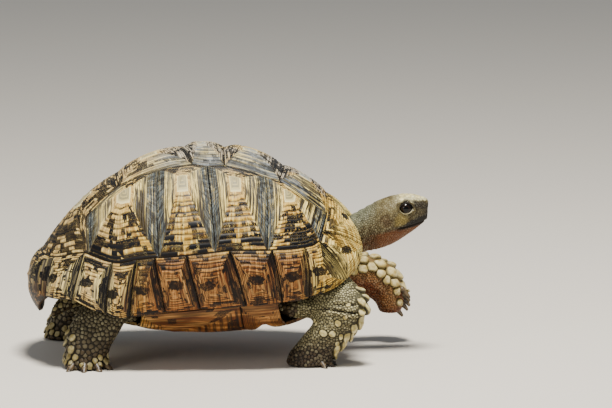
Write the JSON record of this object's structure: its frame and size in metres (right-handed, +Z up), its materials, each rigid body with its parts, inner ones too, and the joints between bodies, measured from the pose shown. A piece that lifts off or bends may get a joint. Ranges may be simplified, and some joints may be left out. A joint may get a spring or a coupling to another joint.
{
  "type": "leopard tortoise",
  "caption": "Life-size still model of a walking leopard tortoise: domed patterned shell, scaly legs, one forefoot raised, head held forward.",
  "frame": {"origin": "on the floor, under the middle of the whole animal's box", "axes": "+X the way the head points, +Y the tortoise's left, +Z up from the floor"},
  "size_m": [0.3488, 0.2102, 0.1869],
  "materials": {
    "carapace_scute": "satin",
    "plastron_scute": "satin",
    "skin": "matt",
    "eye": "gloss"
  },
  "bodies": {
    "root": {"vertebral_1": "carapace_scute", "vertebral_2": "carapace_scute", "vertebral_3": "carapace_scute", "vertebral_4": "carapace_scute", "vertebral_5": "carapace_scute", "costal_1_right": "carapace_scute", "costal_1_left": "carapace_scute", "costal_2_right": "carapace_scute", "costal_2_left": "carapace_scute", "costal_3_right": "carapace_scute", "costal_3_left": "carapace_scute", "costal_4_right": "carapace_scute", "costal_4_left": "carapace_scute", "marginal_1_right": "carapace_scute", "marginal_1_left": "carapace_scute", "marginal_2_right": "carapace_scute", "marginal_2_left": "carapace_scute", "marginal_3_right": "carapace_scute", "marginal_3_left": "carapace_scute", "marginal_4_right": "carapace_scute", "marginal_4_left": "carapace_scute", "marginal_5_right": "carapace_scute", "marginal_5_left": "carapace_scute", "marginal_6_right": "carapace_scute", "marginal_6_left": "carapace_scute", "marginal_7_right": "carapace_scute", "marginal_7_left": "carapace_scute", "marginal_8_right": "carapace_scute", "marginal_8_left": "carapace_scute", "marginal_9_right": "carapace_scute", "marginal_9_left": "carapace_scute", "marginal_10_right": "carapace_scute", "marginal_10_left": "carapace_scute", "marginal_11_right": "carapace_scute", "marginal_11_left": "carapace_scute", "supracaudal": "carapace_scute", "gular_right": "plastron_scute", "gular_left": "plastron_scute", "humeral_right": "plastron_scute", "humeral_left": "plastron_scute", "pectoral_right": "plastron_scute", "pectoral_left": "plastron_scute", "abdominal_right": "plastron_scute", "abdominal_left": "plastron_scute", "femoral_right": "plastron_scute", "femoral_left": "plastron_scute", "anal_right": "plastron_scute", "anal_left": "plastron_scute", "trunk": "skin", "eye_right": "eye", "eye_left": "eye", "head": "skin", "neck": "skin", "foreleg_right": "skin", "foreleg_left": "skin", "hindleg_right": "skin", "hindleg_left": "skin", "tail": "skin"}
  },
  "joints": []
}
